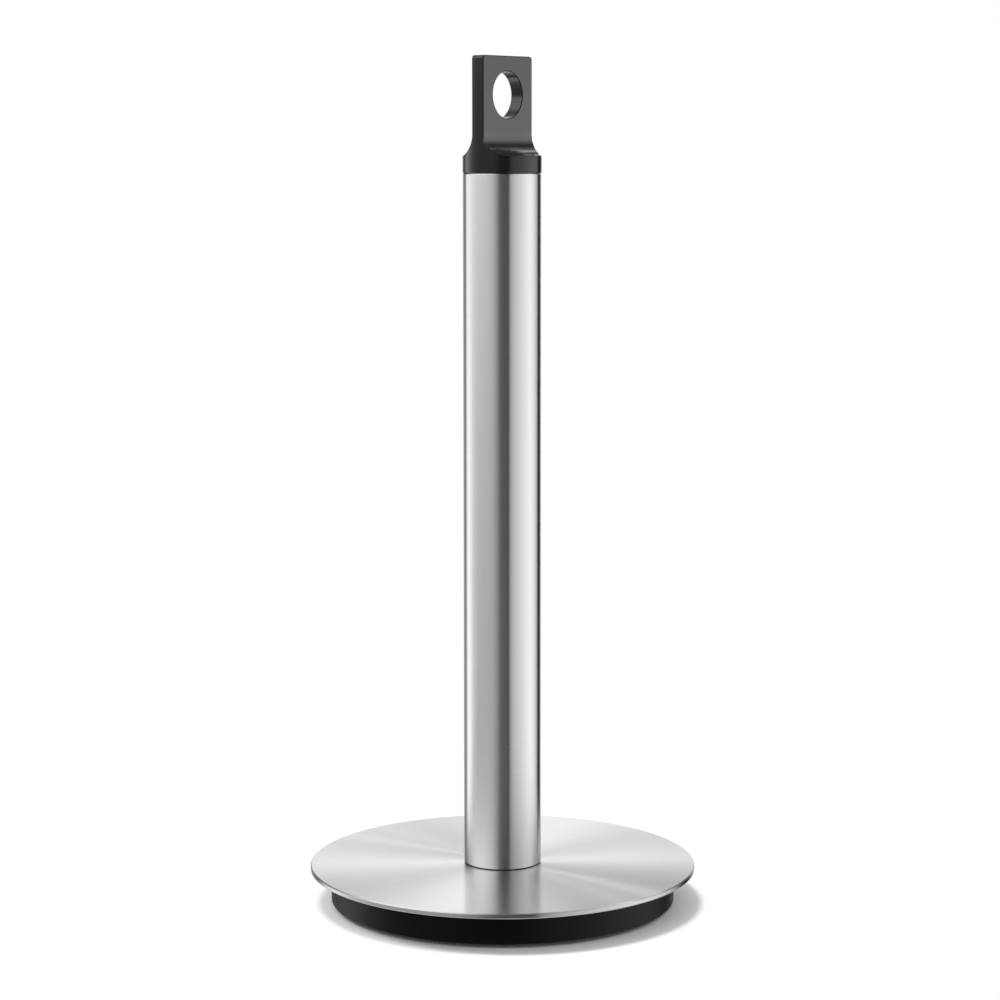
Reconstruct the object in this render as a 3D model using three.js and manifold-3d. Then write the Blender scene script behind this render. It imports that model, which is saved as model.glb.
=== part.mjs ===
// Paper towel holder: a weighted round foot, an upright steel tube and a black cap with a finger eye.
// Millimetres, +Z up. The origin is on the table, on the axis of the tube. The eye is flat along X,
// and its hole runs along Y.
//
// A threaded rod runs from the cap to a nut under the ballast. It clamps the cap, the tube, the steel
// plate, the foam pad and the ballast to one another. A moulded tray closes the foot from below.

import * as THREE from "three";
import { mergeVertices } from "three/addons/utils/BufferGeometryUtils.js";
import Module from "manifold-3d";

const wasm = await Module();
wasm.setup();

// ---------------------------------------------------------------- driving dimensions

const plateDiameter = 150;
const plateThickness = 2.0;
const plateEdgeChamfer = 0.4;

const poleDiameter = 30;
const poleWall = 1.0;
const poleLength = 267.1;
const poleEdgeRound = 0.4;

const gasketThickness = 0.4;
const gasketInset = 0.25;

const capOverhang = 0.05;
const collarHeight = 6.8;
const collarEdgeRound = 0.5;
const eyeThickness = 5.7;
const eyeHoleDiameter = 17.7;
const eyeRimAboveHole = 5.75;
const filletToHole = 6.75;
const filletRadius = 7;
const narrowestLedge = 1;
const eyeTopRound = 0.6;
const eyeHoleRound = 0.5;
const spigotLength = 12;
const spigotClearance = 0.25;
const spigotLeadIn = 0.8;

const ringSection = 1.5;
const ringClearance = 0.05;
const ringGrooveWidth = 2.0;
const ringBelowCollar = 6.5;

const insertDiameter = 8.4;
const insertLength = 10;
const insertWall = 1.5;
const insertBand = 4;
const insertWaist = 0.5;

const rodDiameter = 6;
const rodChamfer = 0.6;
const rodToInsertEnd = 0.8;
const rodProud = 0.5;
const rodRecess = 0.5;
const threadClearance = 0.05;
const holeClearance = 0.3;

const nutAcrossFlats = 10;
const nutHeight = 5;
const thinNutHeight = 3.2;
const washerDiameter = 18;
const washerThickness = 1.2;
const lockWasherDiameter = 11.8;
const lockWasherThickness = 1.5;
const lockWasherGap = 1.2;

const bushHeight = 14;
const bushClearance = 0.1;
const bushFloor = 4;
const bushWall = 2.4;
const bushHubWall = 3;
const bushRibs = 6;
const bushRibThickness = 1.4;
const bushSpigotDiameter = 16;
const bushSpigotShort = 0.2;

const padThickness = 0.5;
const padInset = 0.5;

const ballastThickness = 9.3;
const ballastChamfer = 1;
const counterboreDiameter = 22;

const plateOverhang = 8;
const housingWall = 2.5;
const housingFloor = 2.4;
const housingEdgeRound = 0.7;
const housingInnerRound = 1;
const housingTopGap = 0.3;
const accessHoleDiameter = 25;
const locatingRibs = 12;
const locatingRibLength = 3.3;
const locatingRibThickness = 1.6;
const locatingRibShort = 1.4;
const ribClearance = 0.2;

const footWidth = 8;
const footInset = 5;
const footDepthInGroove = 1;
const footStandsProud = 1.3;
const footClearance = 0.1;
const footEdgeRound = 0.3;
const treadGrooves = 2;
const treadGrooveWidth = 0.8;
const treadGrooveDepth = 0.4;
const treadLand = 1.2;

const screwCount = 4;
const screwDiameter = 4;
const screwHeadDiameter = 7.6;
const screwHeadRim = 0.2;
const screwHeadRecess = 0.15;
const screwLength = 8;
const screwTipChamfer = 0.5;
const screwToFoot = 6;
const countersinkClearance = 0.1;
const tappedHoleSpare = 1.2;
const tappedHoleChamfer = 0.7;

// how finely round forms are divided
const wideRound = 64;
const poleRound = 48;
const smallRound = 20;
const arcSteps = 1;
const filletSteps = 4;
const ringSteps = 4;

// ---------------------------------------------------------------- sizes that follow from them

const plateRadius = plateDiameter / 2;
const poleRadius = poleDiameter / 2;
const boreRadius = poleRadius - poleWall;
const rodRadius = rodDiameter / 2;
const threadedRadius = rodRadius + threadClearance;
const rodHoleRadius = rodRadius + holeClearance;

const housingRadius = plateRadius - plateOverhang;
const housingBore = housingRadius - housingWall;
const ballastRadius = housingBore - locatingRibLength - ribClearance;
const footOuterRadius = housingRadius - footInset;
const footInnerRadius = footOuterRadius - footWidth;
const screwRadius = screwDiameter / 2;
const screwHeadRadius = screwHeadDiameter / 2;
const screwCircleRadius = footInnerRadius - screwToFoot - screwHeadRadius;

// levels above the table
const housingUnderside = footStandsProud;
const ballastUnderside = housingUnderside + housingFloor;
const ballastTop = ballastUnderside + ballastThickness;
const plateUnderside = ballastTop + padThickness;
const plateTop = plateUnderside + plateThickness;
const poleFoot = plateTop + gasketThickness;
const capUnderside = poleFoot + poleLength;

// The nut, its washers and the rod's end fit in the counterbore and stay above the housing's underside.
const clampHeight = washerThickness + lockWasherThickness + nutHeight + rodProud;
const rodEnd = housingUnderside + rodRecess;
const clampSeat = rodEnd + clampHeight;
const counterboreDepth = clampSeat - ballastUnderside;

const collarRadius = poleRadius + capOverhang;
const spigotRadius = boreRadius - spigotClearance;
const ringInnerRadius = boreRadius - ringClearance - ringSection;
const ledgeFillet = Math.min(filletRadius, collarRadius - eyeThickness / 2 - narrowestLedge);
const eyeHoleRadius = eyeHoleDiameter / 2;
const eyeHoleHeight = collarHeight + ledgeFillet + filletToHole + eyeHoleRadius;
const capHeight = eyeHoleHeight + eyeHoleRadius + eyeRimAboveHole;
const insertRadius = insertDiameter / 2;
const rodTop = -spigotLength + insertLength - insertWall - rodToInsertEnd;

// ---------------------------------------------------------------- materials

const finishes = {
  brushedSteel: { color: 0xc8c8c6, roughness: 0.3, metalness: 1 },
  zincSteel: { color: 0xb4b6b8, roughness: 0.35, metalness: 1 },
  brass: { color: 0xb8954a, roughness: 0.3, metalness: 1 },
  castIron: { color: 0x3b3c3e, roughness: 0.75, metalness: 0.6 },
  satinPlastic: { color: 0x1b1b1c, roughness: 0.42, metalness: 0 },
  mouldedPlastic: { color: 0x161617, roughness: 0.55, metalness: 0 },
  rubber: { color: 0x131313, roughness: 0.85, metalness: 0 },
  foam: { color: 0x262627, roughness: 0.95, metalness: 0 },
};

// ---------------------------------------------------------------- shape helpers

// Turns a closed geometry into a solid: welds its seams and drops the flat triangles at its poles.
function solidOf(geometry) {
  geometry.deleteAttribute("normal");
  geometry.deleteAttribute("uv");
  const welded = mergeVertices(geometry);
  const corners = welded.index.array;
  const triangles = [];
  for (let i = 0; i < corners.length; i += 3) {
    const [a, b, c] = [corners[i], corners[i + 1], corners[i + 2]];
    if (a !== b && b !== c && c !== a) triangles.push(a, b, c);
  }
  const vertProperties = new Float32Array(welded.attributes.position.array);
  const triVerts = new Uint32Array(triangles);
  return new wasm.Manifold(new wasm.Mesh({ numProp: 3, vertProperties, triVerts }));
}

// Revolves an outline of (radius, height) about Z. It runs outwards below, up outside, inwards on top.
function revolve(outline, divisions) {
  const geometry = new THREE.LatheGeometry(outline.getPoints(arcSteps), divisions);
  return solidOf(geometry.rotateX(Math.PI / 2));
}

// Extrudes a shape drawn in the plane of two axes along the third, centred on it.
function extrudeAlong(axes, shape, length, curveSegments = filletSteps) {
  const geometry = new THREE.ExtrudeGeometry(shape, { depth: length, bevelEnabled: false, curveSegments });
  geometry.translate(0, 0, -length / 2);
  return solidOf(geometry.applyMatrix4(new THREE.Matrix4().makeBasis(...axes)));
}

const axisX = new THREE.Vector3(1, 0, 0);
const axisY = new THREE.Vector3(0, 1, 0);
const axisZ = new THREE.Vector3(0, 0, 1);
const inPlan = [axisX, axisY, axisZ];
const inSideView = [axisY, axisZ, axisX];
const inRadialView = [axisX, axisZ, axisY.clone().negate()];

// A plain ring or disc with both its outer corners cut by the same chamfer.
function ringOutline(innerRadius, outerRadius, bottom, top, chamfer = 0) {
  const outline = new THREE.Path().moveTo(innerRadius, bottom);
  outline.lineTo(outerRadius - chamfer, bottom);
  if (chamfer > 0) outline.lineTo(outerRadius, bottom + chamfer);
  outline.lineTo(outerRadius, top - chamfer);
  if (chamfer > 0) outline.lineTo(outerRadius - chamfer, top);
  outline.lineTo(innerRadius, top);
  return outline.closePath();
}

function turned(solid, angle) {
  return solid.rotate([0, 0, THREE.MathUtils.radToDeg(angle)]);
}

// Calls back once for each of a number of evenly spaced angles.
function around(count, place) {
  for (let i = 0; i < count; i += 1) place((i / count) * 2 * Math.PI + Math.PI / count, i);
}

function meshOf(name, solid, finish) {
  const { vertProperties, triVerts, numProp } = solid.getMesh();
  const geometry = new THREE.BufferGeometry();
  geometry.setAttribute("position", new THREE.BufferAttribute(vertProperties, numProp));
  geometry.setIndex(new THREE.BufferAttribute(triVerts, 1));
  geometry.computeVertexNormals();
  const mesh = new THREE.Mesh(geometry, new THREE.MeshStandardMaterial(finish));
  mesh.name = name;
  return mesh;
}

// ---------------------------------------------------------------- foot

// Rubber ring that presses into the groove of the housing. Tread grooves run round its sole.
function makeFootRing() {
  const top = footStandsProud + footDepthInGroove;
  const r = footEdgeRound;
  const outline = new THREE.Path().moveTo(footInnerRadius + r, 0);
  const middle = (footInnerRadius + footOuterRadius) / 2;
  const pitch = treadGrooveWidth + treadLand;
  for (let i = 0; i < treadGrooves; i += 1) {
    const groove = middle + (i - (treadGrooves - 1) / 2) * pitch;
    outline.lineTo(groove - treadGrooveWidth / 2, 0);
    outline.lineTo(groove, treadGrooveDepth);
    outline.lineTo(groove + treadGrooveWidth / 2, 0);
  }
  outline.absarc(footOuterRadius - r, r, r, -Math.PI / 2, 0, false);
  outline.lineTo(footOuterRadius, top);
  outline.lineTo(footInnerRadius, top);
  outline.absarc(footInnerRadius + r, r, r, Math.PI, 1.5 * Math.PI, false);
  return revolve(outline.closePath(), wideRound);
}

// Moulded tray: floor, wall, foot groove, ribs that centre the ballast, and countersunk screw holes.
function makeHousing() {
  const floorTop = ballastUnderside;
  const wallTop = plateUnderside - housingTopGap;
  const grooveRoof = housingUnderside + footDepthInGroove;
  const outline = new THREE.Path().moveTo(accessHoleDiameter / 2, housingUnderside);
  outline.lineTo(footInnerRadius - footClearance, housingUnderside);
  outline.lineTo(footInnerRadius - footClearance, grooveRoof);
  outline.lineTo(footOuterRadius + footClearance, grooveRoof);
  outline.lineTo(footOuterRadius + footClearance, housingUnderside);
  const bend = housingEdgeRound;
  outline.absarc(housingRadius - bend, housingUnderside + bend, bend, -Math.PI / 2, 0, false);
  outline.lineTo(housingRadius, wallTop);
  outline.lineTo(housingBore, wallTop);
  const fillet = housingInnerRound;
  outline.absarc(housingBore - fillet, floorTop + fillet, fillet, 0, -Math.PI / 2, true);
  outline.lineTo(accessHoleDiameter / 2, floorTop);
  let housing = revolve(outline.closePath(), wideRound);

  // each rib reaches into the wall and the floor, and its inner corner leads the ballast in
  const ribFace = ballastRadius + ribClearance;
  const ribTop = wallTop - locatingRibShort;
  const ribRoot = housingBore + housingWall / 2;
  const ribFoot = floorTop - housingFloor / 4;
  const ribShape = new THREE.Shape().moveTo(ribFace, ribFoot);
  ribShape.lineTo(ribRoot, ribFoot);
  ribShape.lineTo(ribRoot, ribTop);
  ribShape.lineTo(ribFace + locatingRibShort, ribTop);
  ribShape.lineTo(ribFace, ribTop - locatingRibShort);
  ribShape.closePath();
  const rib = extrudeAlong(inRadialView, ribShape, locatingRibThickness);
  around(locatingRibs, (angle) => {
    housing = housing.add(turned(rib, angle));
  });

  const countersink = makeCountersink();
  around(screwCount, (angle) => {
    housing = housing.subtract(atScrew(countersink, angle));
  });
  return housing;
}

// The hole that a screw's head and shank pass through, open below the housing's underside.
function makeCountersink() {
  const spare = countersinkClearance;
  const mouth = screwHeadRadius + spare;
  const shank = screwRadius + holeClearance;
  const rim = screwHeadRecess + screwHeadRim;
  const outline = new THREE.Path().moveTo(0, -housingFloor);
  outline.lineTo(mouth, -housingFloor);
  outline.lineTo(mouth, rim);
  outline.lineTo(shank, rim + mouth - shank);
  outline.lineTo(shank, 2 * housingFloor);
  outline.lineTo(0, 2 * housingFloor);
  return revolve(outline, smallRound).translate([0, 0, housingUnderside]);
}

function atScrew(solid, angle) {
  return solid.translate([screwCircleRadius * Math.cos(angle), screwCircleRadius * Math.sin(angle), 0]);
}

// Countersunk screw seen with its head down. Its length is taken over the head, as such screws are.
function makeScrew() {
  const outline = new THREE.Path().moveTo(0, 0);
  outline.lineTo(screwHeadRadius, 0);
  outline.lineTo(screwHeadRadius, screwHeadRim);
  outline.lineTo(screwRadius, screwHeadRim + screwHeadRadius - screwRadius);
  outline.lineTo(screwRadius, screwLength - screwTipChamfer);
  outline.lineTo(screwRadius - screwTipChamfer, screwLength);
  outline.lineTo(0, screwLength);
  return revolve(outline, smallRound);
}

// Cast iron disc, drilled for the rod, counterbored for its nut and tapped for the housing screws.
function makeBallast() {
  const wide = counterboreDiameter / 2;
  const outline = new THREE.Path().moveTo(wide, 0);
  outline.lineTo(ballastRadius - ballastChamfer, 0);
  outline.lineTo(ballastRadius, ballastChamfer);
  outline.lineTo(ballastRadius, ballastThickness - ballastChamfer);
  outline.lineTo(ballastRadius - ballastChamfer, ballastThickness);
  outline.lineTo(rodHoleRadius, ballastThickness);
  outline.lineTo(rodHoleRadius, counterboreDepth);
  outline.lineTo(wide, counterboreDepth);
  let ballast = revolve(outline.closePath(), wideRound);

  const screwReach = screwHeadRecess + screwLength - housingFloor;
  const hole = screwRadius + threadClearance;
  const drilled = new THREE.Path().moveTo(0, -1);
  drilled.lineTo(hole + tappedHoleChamfer, -1);
  drilled.lineTo(hole + tappedHoleChamfer, 0);
  drilled.lineTo(hole, tappedHoleChamfer);
  drilled.lineTo(hole, screwReach + tappedHoleSpare);
  drilled.lineTo(0, screwReach + tappedHoleSpare + hole / 2);
  const tappedHole = revolve(drilled, smallRound);
  around(screwCount, (angle) => {
    ballast = ballast.subtract(atScrew(tappedHole, angle));
  });
  return ballast;
}

function makePad() {
  const hole = bushSpigotDiameter / 2 + padInset;
  return revolve(ringOutline(hole, ballastRadius - padInset, 0, padThickness), wideRound);
}

function makePlate() {
  const hole = bushSpigotDiameter / 2 + bushClearance;
  return revolve(ringOutline(hole, plateRadius, 0, plateThickness, plateEdgeChamfer), wideRound);
}

// ---------------------------------------------------------------- clamp

// Hexagon nut with its corners turned off on the upper and lower side.
function makeNut(height) {
  const corner = nutAcrossFlats / Math.sqrt(3);
  const corners = [];
  around(6, (angle) => {
    corners.push(new THREE.Vector2(corner * Math.cos(angle), corner * Math.sin(angle)));
  });
  const prism = extrudeAlong(inPlan, new THREE.Shape(corners), height).translate([0, 0, height / 2]);
  const turnedOff = ringOutline(threadedRadius, corner, 0, height, corner - nutAcrossFlats / 2);
  return prism.intersect(revolve(turnedOff, smallRound));
}

function makeWasher() {
  return revolve(ringOutline(rodHoleRadius, washerDiameter / 2, 0, washerThickness), smallRound);
}

// Spring washer: one turn of square wire, drawn closed flat, with the slit between its ends.
function makeLockWasher() {
  const outer = lockWasherDiameter / 2;
  const halfSlit = lockWasherGap / 2;
  const startOutside = Math.asin(halfSlit / outer);
  const startInside = Math.asin(halfSlit / rodHoleRadius);
  const ring = new THREE.Shape();
  ring.absarc(0, 0, outer, startOutside, 2 * Math.PI - startOutside, false);
  ring.absarc(0, 0, rodHoleRadius, 2 * Math.PI - startInside, startInside, true);
  ring.closePath();
  const washer = extrudeAlong(inPlan, ring, lockWasherThickness, smallRound / 2);
  return washer.translate([0, 0, lockWasherThickness / 2]);
}

function makeRod() {
  const length = capUnderside + rodTop - rodEnd;
  return revolve(ringOutline(0, rodRadius, 0, length, rodChamfer), smallRound);
}

// ---------------------------------------------------------------- pole

function makePole() {
  const r = poleEdgeRound;
  const outline = new THREE.Path().moveTo(boreRadius, 0);
  outline.absarc(poleRadius - r, r, r, -Math.PI / 2, 0, false);
  outline.absarc(poleRadius - r, poleLength - r, r, 0, Math.PI / 2, false);
  outline.lineTo(boreRadius, poleLength);
  return revolve(outline.closePath(), poleRound);
}

function makeGasket() {
  return revolve(ringOutline(boreRadius, poleRadius - gasketInset, 0, gasketThickness), poleRound);
}

// Moulded plug in the foot of the tube. Its spigot centres it in the plate and its hub guides the rod.
function makeBush() {
  const outer = boreRadius - bushClearance;
  const wallInside = outer - bushWall;
  const hub = rodHoleRadius + bushHubWall;
  const spigot = bushSpigotDiameter / 2;
  const spigotEnd = bushSpigotShort - plateThickness;
  const outline = new THREE.Path().moveTo(rodHoleRadius, spigotEnd);
  outline.lineTo(spigot, spigotEnd);
  outline.lineTo(spigot, 0);
  outline.lineTo(outer, 0);
  outline.lineTo(outer, bushHeight);
  outline.lineTo(wallInside, bushHeight);
  outline.lineTo(wallInside, bushFloor);
  outline.lineTo(hub, bushFloor);
  outline.lineTo(hub, bushHeight);
  outline.lineTo(rodHoleRadius, bushHeight);
  let bush = revolve(outline.closePath(), poleRound);

  const ribLength = wallInside - hub + bushWall;
  const ribHeight = bushHeight - bushFloor / 2 - bushWall;
  const ribBox = new THREE.BoxGeometry(ribLength, bushRibThickness, ribHeight);
  ribBox.translate((wallInside + hub) / 2, 0, bushFloor / 2 + ribHeight / 2);
  const rib = solidOf(ribBox);
  around(bushRibs, (angle) => {
    bush = bush.add(turned(rib, angle));
  });
  return bush;
}

// ---------------------------------------------------------------- cap, drawn up from the collar's underside

// The cap is turned to the collar's size, then both flanks are milled away with a wide ball-ended
// sweep. That leaves a flat eye whose narrow ends are still the turned surface, flush with the collar.
function makeCap() {
  return makeCollar().add(makeEye());
}

function makeCollar() {
  const leadIn = spigotLeadIn;
  const grooveFloor = ringInnerRadius - ringClearance;
  const grooveTop = -ringBelowCollar + ringGrooveWidth / 2;
  const grooveBottom = -ringBelowCollar - ringGrooveWidth / 2;
  const pocket = insertRadius + threadClearance;
  const pocketEnd = -spigotLength + insertLength + threadClearance;
  const r = collarEdgeRound;
  const outline = new THREE.Path().moveTo(pocket, -spigotLength);
  outline.lineTo(spigotRadius - leadIn, -spigotLength);
  outline.lineTo(spigotRadius, -spigotLength + leadIn);
  outline.lineTo(spigotRadius, grooveBottom);
  outline.lineTo(grooveFloor, grooveBottom);
  outline.lineTo(grooveFloor, grooveTop);
  outline.lineTo(spigotRadius, grooveTop);
  outline.lineTo(spigotRadius, 0);
  outline.absarc(collarRadius - r, r, r, -Math.PI / 2, 0, false);
  outline.absarc(collarRadius - r, collarHeight - r, r, 0, Math.PI / 2, false);
  outline.lineTo(0, collarHeight);
  outline.lineTo(0, pocketEnd);
  outline.lineTo(pocket, pocketEnd);
  return revolve(outline.closePath(), poleRound);
}

function makeEye() {
  const root = collarHeight / 2;
  const r = eyeTopRound;
  const barrel = new THREE.Path().moveTo(0, root);
  barrel.lineTo(collarRadius, root);
  barrel.absarc(collarRadius - r, capHeight - r, r, 0, Math.PI / 2, false);
  barrel.lineTo(0, capHeight);

  const half = eyeThickness / 2;
  const flank = half + ledgeFillet;
  const filletTop = collarHeight + ledgeFillet;
  const section = new THREE.Shape().moveTo(-flank, root);
  section.lineTo(flank, root);
  section.absarc(flank, filletTop, ledgeFillet, -Math.PI / 2, -Math.PI, true);
  section.absarc(half - r, capHeight - r, r, 0, Math.PI / 2, false);
  section.absarc(r - half, capHeight - r, r, Math.PI / 2, Math.PI, false);
  section.absarc(-flank, filletTop, ledgeFillet, 0, -Math.PI / 2, true);
  section.closePath();

  const flanked = extrudeAlong(inSideView, section, 3 * collarRadius);
  return revolve(barrel, poleRound).intersect(flanked).subtract(makeEyeHole());
}

// The hole's cutter lies along Y and flares at both ends, which rounds the rims of the hole.
function makeEyeHole() {
  const half = eyeThickness / 2;
  const r = eyeHoleRound;
  const rim = eyeHoleRadius + r;
  const outline = new THREE.Path().moveTo(0, -half - 1);
  outline.lineTo(rim, -half - 1);
  outline.absarc(rim, r - half, r, 1.5 * Math.PI, Math.PI, true);
  outline.absarc(rim, half - r, r, Math.PI, Math.PI / 2, true);
  outline.lineTo(rim, half + 1);
  outline.lineTo(0, half + 1);
  const cutter = new THREE.LatheGeometry(outline.getPoints(arcSteps), poleRound);
  return solidOf(cutter).translate([0, 0, eyeHoleHeight]);
}

// Brass insert moulded into the spigot: two gripping bands, a waist between them and a blind thread.
function makeInsert() {
  const waist = insertRadius - insertWaist;
  const threadEnd = insertLength - insertWall;
  const outline = new THREE.Path().moveTo(threadedRadius, 0);
  outline.lineTo(insertRadius, 0);
  outline.lineTo(insertRadius, insertBand);
  outline.lineTo(waist, insertBand + insertWaist);
  outline.lineTo(waist, insertLength - insertBand - insertWaist);
  outline.lineTo(insertRadius, insertLength - insertBand);
  outline.lineTo(insertRadius, insertLength);
  outline.lineTo(0, insertLength);
  outline.lineTo(0, threadEnd);
  outline.lineTo(threadedRadius, threadEnd);
  return revolve(outline.closePath(), smallRound);
}

function makeCapRing() {
  const section = ringSection / 2;
  const outline = new THREE.Path().absarc(ringInnerRadius + section, 0, section, 0, 2 * Math.PI, false);
  const geometry = new THREE.LatheGeometry(outline.getPoints(ringSteps), poleRound);
  return solidOf(geometry.rotateX(Math.PI / 2));
}

// ---------------------------------------------------------------- assembly

const holder = new THREE.Group();
const foot = new THREE.Group();
const clamp = new THREE.Group();
const pole = new THREE.Group();
const cap = new THREE.Group();
holder.add(foot, clamp, pole, cap);

clamp.position.z = rodEnd;
pole.position.z = plateTop;
cap.position.z = capUnderside;

function put(group, name, solid, finish, height = 0) {
  const mesh = meshOf(name, solid, finish);
  mesh.position.z = height;
  group.add(mesh);
  return mesh;
}

put(foot, "foot_ring", makeFootRing(), finishes.rubber);
put(foot, "base_housing", makeHousing(), finishes.mouldedPlastic);
put(foot, "ballast", makeBallast(), finishes.castIron, ballastUnderside);
put(foot, "plate_pad", makePad(), finishes.foam, ballastTop);
put(foot, "base_plate", makePlate(), finishes.brushedSteel, plateUnderside);
const screw = makeScrew();
const screwFoot = housingUnderside + screwHeadRecess;
around(screwCount, (angle, i) => {
  put(foot, `housing_screw_${i + 1}`, atScrew(screw, angle), finishes.zincSteel, screwFoot);
});

put(clamp, "tie_rod", makeRod(), finishes.zincSteel);
put(clamp, "clamp_nut", makeNut(nutHeight), finishes.zincSteel, rodProud);
put(clamp, "lock_washer", makeLockWasher(), finishes.zincSteel, rodProud + nutHeight);
put(clamp, "clamp_washer", makeWasher(), finishes.zincSteel, rodProud + nutHeight + lockWasherThickness);

put(pole, "tube_bush", makeBush(), finishes.mouldedPlastic);
put(pole, "tube_gasket", makeGasket(), finishes.rubber);
put(pole, "pole_tube", makePole(), finishes.brushedSteel, gasketThickness);

put(cap, "eye_cap", makeCap(), finishes.satinPlastic);
put(cap, "cap_insert", makeInsert(), finishes.brass, -spigotLength);
put(cap, "rod_lock_nut", makeNut(thinNutHeight), finishes.zincSteel, -spigotLength - thinNutHeight);
put(cap, "cap_o_ring", makeCapRing(), finishes.rubber, -ringBelowCollar);

export default holder;
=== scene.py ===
# Paper towel holder: fine surfaces, finishes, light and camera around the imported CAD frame.
# Metres, in the CAD's own axes: +Z up the tube, +X along the flat of the eye, +Y through its hole.
import math

import bmesh
import bpy
from mathutils import Matrix, Vector


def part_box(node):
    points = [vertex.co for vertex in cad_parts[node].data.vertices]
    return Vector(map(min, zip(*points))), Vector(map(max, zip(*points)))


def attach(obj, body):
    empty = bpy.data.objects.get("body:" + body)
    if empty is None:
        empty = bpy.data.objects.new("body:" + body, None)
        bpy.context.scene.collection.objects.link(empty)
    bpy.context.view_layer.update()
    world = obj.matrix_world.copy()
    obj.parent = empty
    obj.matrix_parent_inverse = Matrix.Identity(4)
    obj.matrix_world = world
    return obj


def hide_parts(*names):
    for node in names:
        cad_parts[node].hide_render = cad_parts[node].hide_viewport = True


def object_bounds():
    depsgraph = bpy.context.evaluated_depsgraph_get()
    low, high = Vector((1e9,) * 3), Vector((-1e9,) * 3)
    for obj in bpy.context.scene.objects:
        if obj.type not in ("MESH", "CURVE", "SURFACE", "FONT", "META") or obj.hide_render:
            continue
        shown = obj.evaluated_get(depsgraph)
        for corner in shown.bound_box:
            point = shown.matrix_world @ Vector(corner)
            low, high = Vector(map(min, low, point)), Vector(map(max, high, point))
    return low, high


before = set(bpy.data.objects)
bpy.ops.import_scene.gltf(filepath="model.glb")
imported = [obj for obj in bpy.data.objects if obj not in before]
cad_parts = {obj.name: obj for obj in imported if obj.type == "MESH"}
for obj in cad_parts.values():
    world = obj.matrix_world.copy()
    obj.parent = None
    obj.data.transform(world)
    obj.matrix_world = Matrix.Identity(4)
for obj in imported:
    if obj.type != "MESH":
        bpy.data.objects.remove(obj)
cadLow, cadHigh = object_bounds()
print("frame loaded:", len(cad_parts), "nodes")

samePlace = 1e-6  # points this near each other count as one
overcut = 0.001  # how far a cutter reaches past the piece
threadGap = 0.00005  # room round a thread
shankShare = 0.9  # points nearer the axis than this share of the radius aren't on a shank


# steps that every piece uses

def clearPick():
    bpy.ops.object.select_all(action="DESELECT")


def pickOnly(piece):
    clearPick()
    piece.select_set(True)
    bpy.context.view_layer.objects.active = piece


def startEditing(piece, kind="FACE"):
    pickOnly(piece)
    bpy.ops.object.mode_set(mode="EDIT")
    bpy.ops.mesh.select_mode(type=kind)
    bpy.ops.mesh.select_all(action="DESELECT")


def stopEditing():
    bpy.ops.object.mode_set(mode="OBJECT")


def selectEdges(test):
    # the edges whose two ends both pass the test
    mesh = bpy.context.object.data
    shape = bmesh.from_edit_mesh(mesh)
    for edge in shape.edges:
        edge.select_set(all(test(vertex.co) for vertex in edge.verts))
    bmesh.update_edit_mesh(mesh)


def selectVertices(test):
    mesh = bpy.context.object.data
    shape = bmesh.from_edit_mesh(mesh)
    for vertex in shape.verts:
        vertex.select_set(test(vertex.co))
    shape.select_flush(True)
    bmesh.update_edit_mesh(mesh)


def settle(piece, name):
    # the place goes into the mesh, and the object stays at the origin
    pickOnly(piece)
    bpy.ops.object.transform_apply(location=True, rotation=True, scale=True)
    piece.name = name
    piece.data.name = name
    return piece


def applyAll(piece):
    pickOnly(piece)
    for modifier in list(piece.modifiers):
        bpy.ops.object.modifier_apply(modifier=modifier.name)


def mergeUp(piece, gap=samePlace):
    startEditing(piece, "VERT")
    bpy.ops.mesh.select_all(action="SELECT")
    bpy.ops.mesh.remove_doubles(threshold=gap)
    bpy.ops.mesh.normals_make_consistent(inside=False)
    stopEditing()


def softenEdges(piece, width, steps=3, angle=35):
    bevel = piece.modifiers.new("softEdges", "BEVEL")
    bevel.width = width
    bevel.segments = steps
    bevel.limit_method = "ANGLE"
    bevel.angle_limit = math.radians(angle)
    bevel.use_clamp_overlap = False
    bevel.loop_slide = False
    applyAll(piece)


def shadeEvenly(piece, angle=32):
    # smooth rounds, crisp corners, and flats that stay flat beside their rounded edges
    pickOnly(piece)
    bpy.ops.object.shade_smooth_by_angle(angle=math.radians(angle))
    even = piece.modifiers.new("evenNormals", "WEIGHTED_NORMAL")
    even.keep_sharp = True
    applyAll(piece)


def cutWith(piece, cutter, operation="DIFFERENCE"):
    boolean = piece.modifiers.new("cut", "BOOLEAN")
    boolean.operation = operation
    boolean.solver = "EXACT"
    boolean.object = cutter
    applyAll(piece)
    bpy.data.objects.remove(cutter)
    mergeUp(piece)


def copyAround(piece, count, firstAngle):
    # copies with their own meshes, evenly spaced about the tube's axis, in place of the piece
    copies = []
    for i in range(count):
        pickOnly(piece)
        bpy.ops.object.duplicate(linked=False)
        copy = bpy.context.object
        copy.matrix_world = Matrix.Rotation(firstAngle + i * 2 * math.pi / count, 4, "Z")
        copies.append(settle(copy, piece.name))
    bpy.data.objects.remove(piece)
    return copies


def joinAll(pieces):
    pickOnly(pieces[0])
    for piece in pieces[1:]:
        piece.select_set(True)
    bpy.ops.object.join()
    return pieces[0]


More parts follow.
